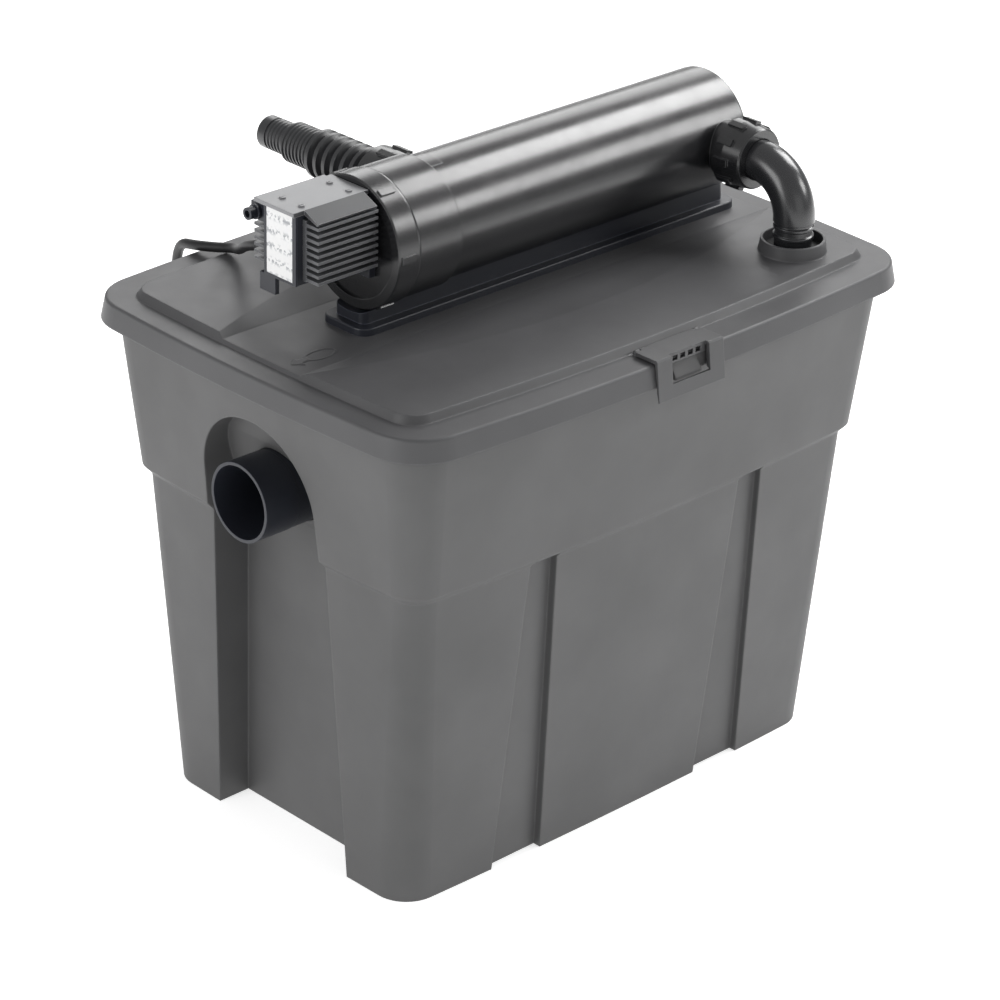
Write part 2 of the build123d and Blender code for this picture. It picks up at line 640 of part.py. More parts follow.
def make_lock_ring():
    """Ribbed ring that turns on the head's flange and reaches over the housing's mouth."""
    back = FLANGE_X - GAP - 2.0
    length = SOCKET_LOW - GAP - back
    inner_r = TUBE_R + 1.4
    body = turned([
        (RING_LIP_R, 0), (RING_R - 1.2, 0), (RING_R - 0.2, 1), (RING_R, length - 2), (RING_R - 0.6, length),
        (inner_r, length), (inner_r, 2), (RING_LIP_R, 2),
    ])
    for number in range(6):
        rib = box((inner_r + 1, -3, 3), (RING_R + 1.1, 3, length - 6))
        body += Rot(0, 0, 30 + number * 60) * rib
    keep("lock_ring", Pos(back, 0, TUBE_Z) * along_x(body))


def make_ballast_housing():
    back = FLANGE_X - 3.0
    shell = box((BOX_X, -BOX_HALF, BOX_LOW), (back, BOX_HALF, BOX_HIGH))
    shell -= box((BOX_X + 2.5, -14.5, BOX_LOW + 2.5), (FLANGE_X - 2, 14.5, BOX_HIGH - 2.5))
    foot = box((BOX_X + 30, -16, 492), (back, 16, BOX_LOW + 0.5))
    entry = box((ENTRY_X - 11, 14, ENTRY_Z - 8), (ENTRY_X + 11, 34, ENTRY_Z + 10))
    tab = box((BOX_X - 2, 6, 485), (BOX_X + 2, 24, BOX_LOW + 0.5))
    frame = box((BOX_X - 2, -18, BOX_LOW), (BOX_X, 19, BOX_HIGH))
    frame -= box((BOX_X - 3, -14, 501), (BOX_X + 1, 16.5, 556))
    neck = box((FLANGE_X - 6, -24, 489), (FLANGE_X, 24, 533))
    neck += box((FLANGE_X - 6, -BOX_HALF, 489), (FLANGE_X, BOX_HALF, 555))
    neck &= Pos(FLANGE_X - 7, 0, TUBE_Z) * along_x(rod(RING_LIP_R - 2 * GAP, 7))
    bridge = box((BOX_X + 4, BOX_HALF - 1, PLUG_Z - 7), (BOX_X + 14, PLUG_Y + 7, PLUG_Z + 7))
    body = shell + foot + entry + tab + frame + neck + bridge
    body -= Pos(ENTRY_X, 24, ENTRY_Z) * along_y(rod(CORD_R + 2, 20))
    body -= box((ENTRY_X - 5, 10, ENTRY_Z - 4), (ENTRY_X + 5, 25, ENTRY_Z + 6))
    body -= Pos(BOX_X + 3, PLUG_Y, PLUG_Z) * along_x(rod(3.2 + FIT, 8))
    for x, y in cover_screw_places():
        body -= Pos(x, y, BOX_HIGH - 5) * rod(1.3 + FIT, 6)
    keep("ballast_housing", body)


def heat_sink(reach):
    """Finned front side of the head, whose level fins reach out to the given Y."""
    low, high = BOX_X + 6, FLANGE_X - 7
    body = box((low, -BOX_HALF - 4, FIN_LOW - 1), (high, -BOX_HALF, FIN_LOW + FIN_COUNT * FIN_PITCH - 1))
    for number in range(FIN_COUNT):
        z = FIN_LOW + number * FIN_PITCH
        body += box((low, -reach, z), (high, -BOX_HALF - 3, z + FIN_THICK))
    return body


def cover_screw_places():
    """(x, y) places of the top cover's screws."""
    return [(x, y) for x in (-228, -180) for y in (-11, 11)]


def make_head_shell():
    keep("heat_sink_front", heat_sink(FIN_FRONT_Y))
    rear = mirrored(heat_sink(FIN_REAR_Y))
    rear -= box((BOX_X, 15, PLUG_Z - 9), (BOX_X + 14.4, 45, PLUG_Z + 12))
    rear -= box((ENTRY_X - 11.4, 15, 480), (ENTRY_X + 11.4, 36, ENTRY_Z + 10.4))
    keep("heat_sink_rear", rear)
    cover_top = 560.5
    cover_low = BOX_HIGH + 0.3
    section = [
        (-19, cover_top), (27, cover_top), (27, cover_low), (-17.4, cover_low),
        (1 - FIN_FRONT_Y, 551.6), (-FIN_FRONT_Y, 553.4),
    ]
    cover = prism_x(section, BOX_X - 5, FLANGE_X - 8)
    cover -= box((BOX_X - 6, -40, 545), (BOX_X + 6, -19, 570))
    cover += box((FLANGE_X - 9, -19, cover_low), (FLANGE_X - 3, 24, cover_top))
    screws = []
    for x, y in cover_screw_places():
        cover -= Pos(x, y, cover_low - 1) * rod(1.3 + FIT, 6)
        head = rod(2.6, 1.2) - Pos(0, 0, 1.0) * Box(8, 0.8, 1.0)
        screws.append(Pos(x, y, cover_top) * (head + Pos(0, 0, -7) * rod(1.3, 7.1)))
    keep("top_cover", cover)
    keep("cover_screws", Compound(screws))
    keep("label_plate", box((BOX_X - 1.6, -14 + FIT, 501 + FIT), (BOX_X, 16.5 - FIT, 556 - FIT)))
    plug = rod(5, 10) - Pos(0, 0, 6) * rod(3, 5)
    plug += Pos(0, 0, -7) * rod(3.2, 8)
    plug += rod(6.2, 3)
    keep("blanking_plug", Pos(BOX_X + 4, PLUG_Y, PLUG_Z) * along_minus_x(plug))


def make_lamp():
    board = box((-232, -1.5, 503), (-176, 0.1, 552))
    for x, z, wide, high in ((-222, 512, 14, 14), (-203, 530, 16, 12), (-190, 508, 8, 18)):
        board += box((x - wide / 2, -11, z), (x + wide / 2, -1.4, z + high))
    keep("ballast_board", board)
    socket = rod(19, 14) + Pos(0, 0, 13) * rod(18.5, 4)
    keep("lamp_socket", Pos(FLANGE_X + 14, 0, TUBE_Z) * along_x(socket))
    lamp = Pos(-133, 0, TUBE_Z) * along_x(rod(18, 14))
    tube_offset = 9.6
    for z in (-tube_offset, tube_offset):
        lamp += Pos(-120, 0, TUBE_Z + z) * along_x(rod(7.8, 290))
    lamp += Pos(162, 0, TUBE_Z) * Box(8, 10, 14)
    keep("uv_lamp", lamp)
    inner_r, outer_r = 20.6, 22.4
    sleeve = Pos(-146, 0, TUBE_Z) * along_x(rod(outer_r, 334)) + Pos(188, 0, TUBE_Z) * Sphere(outer_r)
    bore = Pos(-147, 0, TUBE_Z) * along_x(rod(inner_r, 335)) + Pos(188, 0, TUBE_Z) * Sphere(inner_r)
    keep("quartz_sleeve", sleeve - bore)
    nut = turned([(outer_r + FIT, 0), (33, 0), (33, 9), (30, 12), (outer_r + FIT, 12)])
    keep("sleeve_clamp_nut", Pos(FLANGE_X + 34.4, 0, TUBE_Z) * along_x(nut))


# ---------------------------------------------------------------- mains cord
COIL_X, COIL_Y = 26.0, 290.0
COIL_MEAN_R = 50.0
COIL_COLUMNS = 3
COIL_LAYERS = 4
COIL_OUTER_R = COIL_MEAN_R + (COIL_COLUMNS - 1) * CORD_R    # centre line of the outermost turn
COIL_TOP_Z = (2 * COIL_LAYERS - 1) * CORD_R                 # centre line of the top turns
PLUG_X, PLUG_R = 156.0, 18.5

CORD_ROUTE = [              # from the cable entry, over the lid's back edge, to the top of the coil
    (ENTRY_X, 32, ENTRY_Z),
    (ENTRY_X, 72, ENTRY_Z),
    (-184, 110, 481),
    (-170, 140, 465),
    (-157, 168, 454),
    (-156, 197, 450),
    (-152, 223, 439),
    (-146, 241, 414),
    (-141, 248, 380),
    (-137, 244, 338),
    (-133, 238, 290),
    (-129, 235, 242),
    (-124, 236, 194),
    (-117, 239, 148),
    (-101, 241, 106),
    (-74, 240, 72),
    (-39, 235, 46),
    (-4, COIL_Y - COIL_OUTER_R, 32),
    (COIL_X, COIL_Y - COIL_OUTER_R, COIL_TOP_Z),
]
TAIL_ROUTE = [              # from the bottom of the coil to the plug
    (COIL_X, COIL_Y - COIL_OUTER_R, CORD_R),
    (54, 232.5, CORD_R),
    (82, 238, 8),
    (108, 245, 15),
    (133, 247, PLUG_R),
    (PLUG_X, 247, PLUG_R),
]


def route_radii(points):
    """Arc radius at each corner: 0.45 of the shorter run over the tangent of half the turn."""
    radii = []
    for before, here, after in zip(points, points[1:], points[2:]):
        a = Vector(*here) - Vector(*before)
        b = Vector(*after) - Vector(*here)
        turn = math.radians(a.get_angle(b))
        radii.append(0.45 * min(a.length, b.length) / math.tan(turn / 2))
    return radii


def cord_tube(points, label):
    """Round cord along straight runs joined by tangent arcs."""
    radii = route_radii(points)
    path = FilletPolyline(*points, radius=radii)
    start = Vector(*points[0])
    direction = Vector(*points[1]) - start
    tube = sweep(Plane(origin=start, z_dir=direction) * Circle(CORD_R), path=path)
    expected = math.pi * CORD_R ** 2 * path.length
    ratio = round(tube.volume / expected, 4)
    print(label, "radii", [round(r) for r in radii], "length", round(path.length), "volume ratio", ratio)
    return tube


def make_gland():
    """Gland nut with a short tapered strain relief round the cord."""
    body = turned([(CORD_R, 0), (10, 0), (10, 6), (8.4, 7), (6.0, 20), (CORD_R, 20)])
    body += turned([(CORD_R, -8), (CORD_R + 2, -8), (CORD_R + 2, 1), (CORD_R, 1)])
    keep("cable_gland", Pos(ENTRY_X, 34, ENTRY_Z) * along_y(body))


def make_cord():
    keep("power_cord", cord_tube(CORD_ROUTE, "cord"))
    keep("cord_tail", cord_tube(TAIL_ROUTE, "tail"))
    half_band = COIL_COLUMNS * CORD_R
    coil = ring(COIL_MEAN_R + half_band, COIL_MEAN_R - half_band, 2 * COIL_LAYERS * CORD_R)
    keep("cord_coil", Pos(COIL_X, COIL_Y, 0) * coil)


def make_mains_plug():
    """Moulded two-pin plug that lies on the floor beside the coil."""
    body = turned([
        (0, 0), (5.5, 0), (7.5, 16), (12, 20), (PLUG_R - 2, 30), (PLUG_R, 33),
        (PLUG_R, 50), (PLUG_R - 1, 51), (0, 51),
    ])
    for side in (-1, 1):
        body += Pos(side * 9.5, 0, 50) * rod(2.4, 20)
    keep("mains_plug", Pos(PLUG_X, TAIL_ROUTE[-1][1], PLUG_R) * along_x(Rot(0, 0, 90) * body))


# ---------------------------------------------------------------- build
def main():
    make_tub()
    make_outlet()
    make_media()
    make_lid()
    make_lid_fittings()
    make_clasps()
    make_stand()
    make_housing()
    make_elbow()
    make_unions()
    make_hose_tail()
    make_head_base()
    make_lock_ring()
    make_ballast_housing()
    make_head_shell()
    make_lamp()
    make_gland()
    make_cord()
    make_mains_plug()
    os.makedirs("parts", exist_ok=True)
    for name, shape in PARTS.items():
        export_step(shape, f"parts/{name}.step")
    print(len(PARTS), "nodes written")


main()
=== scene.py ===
import json
import math

import bmesh
import bpy
from mathutils import Matrix, Vector


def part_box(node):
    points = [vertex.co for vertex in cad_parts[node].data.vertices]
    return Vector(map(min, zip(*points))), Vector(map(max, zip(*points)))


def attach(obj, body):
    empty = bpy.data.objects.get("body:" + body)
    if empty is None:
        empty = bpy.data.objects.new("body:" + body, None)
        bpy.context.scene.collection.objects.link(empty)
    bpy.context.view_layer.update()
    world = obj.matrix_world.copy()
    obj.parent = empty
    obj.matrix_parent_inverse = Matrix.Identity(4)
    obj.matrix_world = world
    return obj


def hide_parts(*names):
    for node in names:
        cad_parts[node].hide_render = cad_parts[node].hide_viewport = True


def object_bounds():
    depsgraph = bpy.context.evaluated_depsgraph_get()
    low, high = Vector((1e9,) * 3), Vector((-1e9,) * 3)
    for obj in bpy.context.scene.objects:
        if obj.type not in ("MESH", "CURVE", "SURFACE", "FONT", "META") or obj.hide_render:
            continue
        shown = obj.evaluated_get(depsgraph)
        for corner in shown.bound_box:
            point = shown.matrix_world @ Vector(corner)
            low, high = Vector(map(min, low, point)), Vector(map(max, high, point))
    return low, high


# Looks of a pond box filter with an ultraviolet clarifier on its lid. All sizes are in metres.
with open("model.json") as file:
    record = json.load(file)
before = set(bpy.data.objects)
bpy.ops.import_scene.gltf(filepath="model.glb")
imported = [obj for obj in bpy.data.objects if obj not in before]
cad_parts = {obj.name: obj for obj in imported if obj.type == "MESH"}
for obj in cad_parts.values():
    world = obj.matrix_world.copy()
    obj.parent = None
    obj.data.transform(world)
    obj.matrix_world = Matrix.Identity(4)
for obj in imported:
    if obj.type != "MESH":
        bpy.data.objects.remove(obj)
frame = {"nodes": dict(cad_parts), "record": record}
cad_low, cad_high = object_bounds()
NODES = frame["nodes"]
MM = 0.001


# ---------------------------------------------------------------- camera
AZIMUTH = math.radians(-44.258)
ELEVATION = math.radians(26.344)
ROLL = math.radians(1.372)
CAMERA_PLACE = Vector((-1.9788, -2.0314, 1.6372))
LENS = 136.04


def make_camera():
    data = bpy.data.cameras.new("camera")
    data.lens = LENS
    data.sensor_width = 36.0
    data.clip_start = 0.05
    data.clip_end = 50.0
    camera = bpy.data.objects.new("camera", data)
    turn = Matrix.Rotation(AZIMUTH, 4, "Z") @ Matrix.Rotation(math.pi / 2 - ELEVATION, 4, "X")
    camera.matrix_world = Matrix.Translation(CAMERA_PLACE) @ turn @ Matrix.Rotation(ROLL, 4, "Z")
    bpy.context.scene.collection.objects.link(camera)
    bpy.context.scene.camera = camera


# ---------------------------------------------------------------- node materials
CLOUDING = 0.10             # how far a moulded colour drifts either way
COVER_FOLD = 5 * MM         # the cover folds down this far in front of the label's edge
LABEL_ROWS = 9
SOLDER_PITCH = 3.5 * MM


class Shader:
    """One Principled material, with short calls for the nodes that feed it."""

    finished = {}               # every finished material, by the name of its slot

    def __init__(self, name):
        self.name = name
        self.material = bpy.data.materials.new(name)
        self.material.use_nodes = True
        self.tree = self.material.node_tree
        self.bsdf = self.tree.nodes["Principled BSDF"]
        self.place = self.add("ShaderNodeTexCoord").outputs["Object"]

    def add(self, kind, **settings):
        node = self.tree.nodes.new(kind)
        for key, value in settings.items():
            setattr(node, key, value)
        return node

    def link(self, source, target):
        self.tree.links.new(source, target)

    def noise(self, size, detail=3.0, roughness=0.5):
        """Noise whose features are about size metres across, from 0 to 1."""
        node = self.add("ShaderNodeTexNoise")
        node.inputs["Scale"].default_value = 1.0 / size
        node.inputs["Detail"].default_value = detail
        node.inputs["Roughness"].default_value = roughness
        self.link(self.place, node.inputs["Vector"])
        return node.outputs["Fac"]

    def ramp(self, factor, stops):
        """Colour ramp over (position, colour) stops."""
        node = self.add("ShaderNodeValToRGB")
        elements = node.color_ramp.elements
        while len(elements) < len(stops):
            elements.new(0.5)
        for element, (position, colour) in zip(elements, stops):
            element.position = position
            element.color = (*colour, 1.0)
        self.link(factor, node.inputs["Fac"])
        return node.outputs["Color"]

    def spread(self, factor, low, high):
        """Map a 0 to 1 factor onto low to high."""
        node = self.add("ShaderNodeMapRange")
        node.inputs["To Min"].default_value = low
        node.inputs["To Max"].default_value = high
        self.link(factor, node.inputs["Value"])
        return node.outputs["Result"]

    def blend(self, factor, first, second):
        """Mix two colour sockets by a factor socket."""
        node = self.add("ShaderNodeMix", data_type="RGBA")
        self.link(factor, node.inputs["Factor"])
        self.link(first, node.inputs["A"])
        self.link(second, node.inputs["B"])
        return node.outputs["Result"]

    def rounded(self, radius):
        """Normal that rounds off sharp edges."""
        node = self.add("ShaderNodeBevel", samples=4)
        node.inputs["Radius"].default_value = radius
        return node.outputs["Normal"]

    def edge_highlight_mask(self, normal, gain):
        """1 near the edges that the rounded normal softens, 0 on open faces: where painted edge
        highlights go.
        """
        geometry = self.add("ShaderNodeNewGeometry")
        dot = self.add("ShaderNodeVectorMath", operation="DOT_PRODUCT")
        self.link(normal, dot.inputs[0])
        self.link(geometry.outputs["Normal"], dot.inputs[1])
        lift = self.add("ShaderNodeMapRange")
        lift.inputs["From Min"].default_value = 1.0
        lift.inputs["From Max"].default_value = 1.0 - 1.0 / gain
        self.link(dot.outputs["Value"], lift.inputs["Value"])
        return lift.outputs["Result"]

    def bump(self, height, strength, depth, normal=None):
        node = self.add("ShaderNodeBump")
        node.inputs["Strength"].default_value = strength
        node.inputs["Distance"].default_value = depth
        self.link(height, node.inputs["Height"])
        if normal is not None:
            self.link(normal, node.inputs["Normal"])
        return node.outputs["Normal"]

    def finish(self, colour, roughness, normal, **sockets):
        self.link(colour, self.bsdf.inputs["Base Color"])
        self.link(roughness, self.bsdf.inputs["Roughness"])
        self.link(normal, self.bsdf.inputs["Normal"])
        for name, value in sockets.items():
            self.bsdf.inputs[name.replace("_", " ")].default_value = value
        Shader.finished[self.name] = self.material
        return self.material


def shade(colour, factor):
    """The same colour, lighter or darker."""
    return tuple(min(1.0, channel * factor) for channel in colour)


def moulded(name, colour, roughness, grain=0.25, edge_highlight_gain=1.5, edge_radius=1.2 * MM, gloss=0.5):
    """Injection-moulded plastic: fine grain, faint clouding, and painted highlights that make the edges
    paler.
    """
    made = Shader(name)
    clouds = made.noise(90 * MM, detail=4.0)
    body = made.ramp(clouds, [(0.3, shade(colour, 1 - CLOUDING)), (0.7, shade(colour, 1 + CLOUDING))])
    # painted highlight: near the edges the colour turns to a paler copy of itself
    edge = made.ramp(clouds, [(0.0, shade(colour, edge_highlight_gain)), (1.0, shade(colour, edge_highlight_gain * 1.15))])
    soft = made.rounded(edge_radius)
    tone = made.blend(made.edge_highlight_mask(soft, 5.0), body, edge)
    grains = made.noise(0.9 * MM, detail=2.0)
    smears = made.noise(25 * MM, detail=5.0, roughness=0.6)
    rough = made.spread(smears, roughness - 0.07, roughness + 0.07)
    return made.finish(tone, rough, made.bump(grains, grain, 0.15 * MM, soft), Specular_IOR_Level=gloss)


def rubber(name, colour, roughness=0.55):
    """Matt rubber with a faint moulding skin."""
    made = Shader(name)
    bloom = made.noise(12 * MM, detail=5.0)
    tone = made.ramp(bloom, [(0.3, shade(colour, 0.8)), (0.75, shade(colour, 1.5))])
    rough = made.spread(bloom, roughness - 0.08, roughness + 0.1)
    normal = made.bump(made.noise(0.5 * MM), 0.3, 0.1 * MM, made.rounded(0.4 * MM))
    return made.finish(tone, rough, normal, Specular_IOR_Level=0.4)


def metal(name, colour, roughness):
    """Metal with fine tool marks and slightly uneven polish."""
    made = Shader(name)
    marks = made.noise(0.8 * MM, detail=6.0, roughness=0.7)
    tone = made.ramp(marks, [(0.2, shade(colour, 0.85)), (0.8, shade(colour, 1.1))])
    rough = made.spread(marks, roughness - 0.08, roughness + 0.08)
    normal = made.bump(marks, 0.15, 0.05 * MM, made.rounded(0.4 * MM))
    return made.finish(tone, rough, normal, Metallic=1.0)


def cover_paint(name, colour, slope_colour, roughness):
    """Paint of the head's cover: paler on its flat top than on the slope over the front fins, with
    painted highlights on its edges.
    """
    made = Shader(name)
    peel = made.noise(1.6 * MM, detail=2.0)
    soft = made.rounded(0.8 * MM)
    patches = made.noise(40 * MM)
    flat = made.ramp(patches, [(0.3, shade(colour, 0.94)), (0.7, shade(colour, 1.06))])
    slope = made.ramp(patches, [(0.3, shade(slope_colour, 0.94)), (0.7, shade(slope_colour, 1.06))])
    label_low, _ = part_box("label_plate")
    split = made.add("ShaderNodeSeparateXYZ")
    made.link(made.place, split.inputs["Vector"])
    is_top = made.add("ShaderNodeMath", operation="GREATER_THAN")
    is_top.inputs[1].default_value = label_low.y - COVER_FOLD
    made.link(split.outputs["Y"], is_top.inputs[0])
    body = made.blend(is_top.outputs["Value"], slope, flat)
    # painted highlight: the cover's edges are lightened to 1.5 to 1.8 times its colour
    edge = made.ramp(peel, [(0.0, shade(colour, 1.5)), (1.0, shade(colour, 1.8))])
    tone = made.blend(made.edge_highlight_mask(soft, 6.0), body, edge)
    rough = made.spread(peel, roughness - 0.04, roughness + 0.04)
    return made.finish(tone, rough, made.bump(peel, 0.12, 0.1 * MM, soft), Specular_IOR_Level=0.6)


def foam(name, colour, pore):
    """Open-cell filter foam: pores darkened by painted shade, between thin struts painted paler."""
    made = Shader(name)
    cells = made.add("ShaderNodeTexVoronoi", feature="SMOOTH_F1")
    cells.inputs["Scale"].default_value = 1.0 / pore
    made.link(made.place, cells.inputs["Vector"])
    distance = cells.outputs["Distance"]
    # painted shade: each pore's middle is darkened to a quarter of the foam's colour, and the struts
    # between pores are painted paler
    tone = made.ramp(distance, [(0.1, shade(colour, 0.25)), (0.55, colour), (0.9, shade(colour, 1.5))])
    rough = made.spread(made.noise(30 * MM), 0.85, 0.95)
    return made.finish(tone, rough, made.bump(distance, 0.9, pore * 0.5), Specular_IOR_Level=0.15)


def glass(name, tint, roughness, frost):
    """Glass with a faint film on it; frost is how milky it is."""
    made = Shader(name)
    film = made.noise(20 * MM, detail=4.0)
    tone = made.ramp(film, [(0.3, shade(tint, 0.97)), (0.7, tint)])
    rough = made.spread(film, roughness, roughness + 0.08)
    normal = made.bump(film, 0.05, 0.1 * MM)
    return made.finish(tone, rough, normal, Transmission_Weight=1.0 - frost, IOR=1.46)


def circuit_board(name):
    """Green board dotted with pale solder joints."""
    made = Shader(name)
    cells = made.add("ShaderNodeTexVoronoi", feature="F1")
    cells.inputs["Scale"].default_value = 1.0 / SOLDER_PITCH
    made.link(made.place, cells.inputs["Vector"])
    distance = cells.outputs["Distance"]
    tone = made.ramp(distance, [(0.1, (0.5, 0.5, 0.48)), (0.16, (0.01, 0.10, 0.04))])
    return made.finish(tone, made.spread(distance, 0.25, 0.5), made.bump(distance, 0.2, 0.1 * MM))


def label_film(name):
    """White vinyl label with broken grey rules and no lettering."""
    made = Shader(name)
    low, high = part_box("label_plate")
    split = made.add("ShaderNodeSeparateXYZ")
    made.link(made.place, split.inputs["Vector"])
    rows = made.add("ShaderNodeMath", operation="PINGPONG")
    rows.inputs[1].default_value = (high.z - low.z) / LABEL_ROWS
    made.link(split.outputs["Z"], rows.inputs[0])
    dashes = made.noise(3.2 * MM, detail=1.0)
    line = made.ramp(rows.outputs["Value"], [(0.0, (0.30, 0.31, 0.33)), (0.0009, (0.74, 0.74, 0.74))])
    plain = made.ramp(made.noise(30 * MM), [(0.3, (0.73, 0.73, 0.73)), (0.7, (0.77, 0.77, 0.77))])
    shown = made.ramp(dashes, [(0.48, (0, 0, 0)), (0.54, (1, 1, 1))])
    tone = made.blend(shown, plain, line)
    normal = made.bump(dashes, 0.05, 0.05 * MM, made.rounded(0.3 * MM))
    return made.finish(tone, made.spread(dashes, 0.35, 0.42), normal)


BOX_GREY = (0.090, 0.090, 0.091)
LID_GREY = (0.080, 0.080, 0.083)
CHARCOAL = (0.040, 0.041, 0.045)
NEAR_BLACK = (0.016, 0.018, 0.025)


def make_tub_group_materials():
    """Plastics of the tub, the lid and what is inside them."""
    tub_edge, lid_edge = 2.5 * MM, 2.0 * MM
    clasp_grey = shade(LID_GREY, 0.85)
    # the edge factor in each call sets how strongly a painted highlight lightens that plastic's edges
    moulded("tub_plastic", BOX_GREY, 0.52, grain=0.35, edge_highlight_gain=1.35, edge_radius=tub_edge, gloss=0.4)
    moulded("lid_plastic", LID_GREY, 0.45, grain=0.30, edge_highlight_gain=1.5, edge_radius=lid_edge, gloss=0.45)
    moulded("clasp_plastic", clasp_grey, 0.42, edge_highlight_gain=1.6, edge_radius=0.7 * MM)
    moulded("pipe_plastic", NEAR_BLACK, 0.38, grain=0.1, edge_highlight_gain=4.0, edge_radius=0.8 * MM)
    moulded("tray_plastic", (0.02, 0.021, 0.023), 0.5)
    foam("coarse_foam", (0.012, 0.05, 0.12), 3.2 * MM)
    foam("fine_foam", (0.30, 0.19, 0.05), 1.8 * MM)


def make_clarifier_materials():
    """Plastics of the clarifier's housing, its stand and its two pipe ends."""
    shell = shade(CHARCOAL, 0.32)
    bend = shade(CHARCOAL, 0.5)
    tail = shade(CHARCOAL, 0.6)
    broad, medium, fine = 0.9 * MM, 0.8 * MM, 0.6 * MM
    # the edge factor in each call sets how strongly a painted highlight lightens that plastic's edges
    moulded("housing_plastic", shell, 0.24, grain=0.05, edge_highlight_gain=3.0, edge_radius=broad, gloss=0.9)
    moulded("stand_plastic", NEAR_BLACK, 0.4, grain=0.15, edge_highlight_gain=5.0, edge_radius=broad)
    moulded("elbow_plastic", bend, 0.24, grain=0.05, edge_highlight_gain=2.4, edge_radius=medium, gloss=0.9)
    moulded("hose_tail_plastic", tail, 0.32, grain=0.15, edge_highlight_gain=2.2, edge_radius=fine, gloss=0.8)


def make_head_materials():
    """Finishes of the clarifier's head and of the lamp inside it."""
    fin_grey = (0.085, 0.087, 0.092)
    # the edge factor in each call sets how strongly a painted highlight lightens that plastic's edges
    moulded("box_plastic", NEAR_BLACK, 0.4, grain=0.15, edge_highlight_gain=3.5, edge_radius=0.6 * MM)
    moulded("heat_sink_metal", fin_grey, 0.38, grain=0.2, edge_highlight_gain=4.0, edge_radius=0.5 * MM)
    cover_paint("cover_metal", (0.22, 0.222, 0.23), (0.05, 0.051, 0.055), 0.38)
    label_film("label")
    circuit_board("board")
    moulded("lamp_socket", (0.6, 0.58, 0.52), 0.4)
    glass("lamp_glass", (0.93, 0.96, 1.0), 0.15, frost=0.7)
    glass("quartz", (0.97, 0.985, 1.0), 0.03, frost=0.0)


def make_shared_materials():
    """Rubber and steel used all over the filter."""
    rubber("seal_rubber", (0.006, 0.006, 0.007))
    rubber("cord_rubber", (0.012, 0.012, 0.013), 0.45)
    metal("steel", (0.55, 0.55, 0.56), 0.3)


def make_materials():
    """Make one Blender material for each material slot of the record, and return them by slot."""
    make_tub_group_materials()
    make_clarifier_materials()
    make_head_materials()
    make_shared_materials()
    return dict(Shader.finished)


def paint_frame(materials):
    """Give every CAD node the material of its record slot."""
    slots = {row["node"]: row["material_slot"] for row in frame["record"]["subparts"]}
    slots["cover_screws"] = "cover_metal"          # painted over with the cover
    for name, node in NODES.items():
        node.data.materials.clear()
        node.data.materials.append(materials[slots[name]])


# ---------------------------------------------------------------- pieces made here
def add_piece(name, mesh, body, slot, materials, smooth=True):
    """Put a finished mesh in the scene, riding on a body, with a record slot's finish."""
    piece = bpy.data.objects.new(name, mesh)
    bpy.context.scene.collection.objects.link(piece)
    mesh.materials.append(materials[slot])
    for face in mesh.polygons:
        face.use_smooth = smooth
    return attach(piece, body)


def lathe(profile, origin, axis, sides=64):
    """Mesh turned about an axis through origin, from closed (distance along the axis, radius) points."""
    work = bmesh.new()
    frame_turn = Vector((0, 0, 1)).rotation_difference(Vector(axis)).to_matrix()
    rings = []
    for number in range(sides):
        angle = 2 * math.pi * number / sides
        ring = []
        for along, radius in profile:
            point = Vector((radius * math.cos(angle), radius * math.sin(angle), along))
            ring.append(work.verts.new(Vector(origin) + frame_turn @ point))
        rings.append(ring)
    for number, ring in enumerate(rings):
        other = rings[(number + 1) % sides]
        for low in range(len(profile)):
            high = (low + 1) % len(profile)
            work.faces.new((ring[low], other[low], other[high], ring[high]))
    bmesh.ops.recalc_face_normals(work, faces=work.faces)
    mesh = bpy.data.meshes.new("lathe")
    work.to_mesh(mesh)
    work.free()
    return mesh


# ---------------------------------------------------------------- mains cord
CORD_RADIUS = 4.25 * MM
CORD_START = [              # from the cable entry, over the lid's back edge, down to the coil
    (-0.190, 0.032, 0.492),
    (-0.190, 0.072, 0.492),
    (-0.183, 0.108, 0.479),
    (-0.166, 0.137, 0.461),
    (-0.150, 0.161, 0.451),
    (-0.154, 0.180, 0.4465),
    (-0.160, 0.201, 0.4435),
    (-0.155, 0.226, 0.437),
    (-0.147, 0.242, 0.412),
    (-0.141, 0.248, 0.380),
    (-0.137, 0.244, 0.338),
    (-0.133, 0.238, 0.290),
    (-0.129, 0.235, 0.242),
    (-0.124, 0.236, 0.194),
    (-0.117, 0.239, 0.148),
    (-0.101, 0.241, 0.106),
    (-0.074, 0.240, 0.072),
    (-0.039, 0.235, 0.046),
    (-0.004, 0.2315, 0.032),
]
CORD_TAIL = [               # from the outermost bottom turn to the plug
    (0.054, 0.2325, 0.00425),
    (0.082, 0.238, 0.008),
    (0.108, 0.245, 0.015),
    (0.133, 0.247, 0.0185),
    (0.156, 0.247, 0.0185),
]
COIL_COLUMNS = 3
COIL_LAYERS = 4
TURN_POINTS = 16            # control points in one turn
SHIFT_PART = 0.25           # last part of a turn, in which it moves over to the next one's place
SHIFT_SHARE = 0.6           # the move across and the move down each take this much of that part
TIE_ANGLES = (0.35, 2.4)    # places of the ties round the coil, in radians


def smooth_step(value):
    value = min(1.0, max(0.0, value))
    return value * value * (3 - 2 * value)


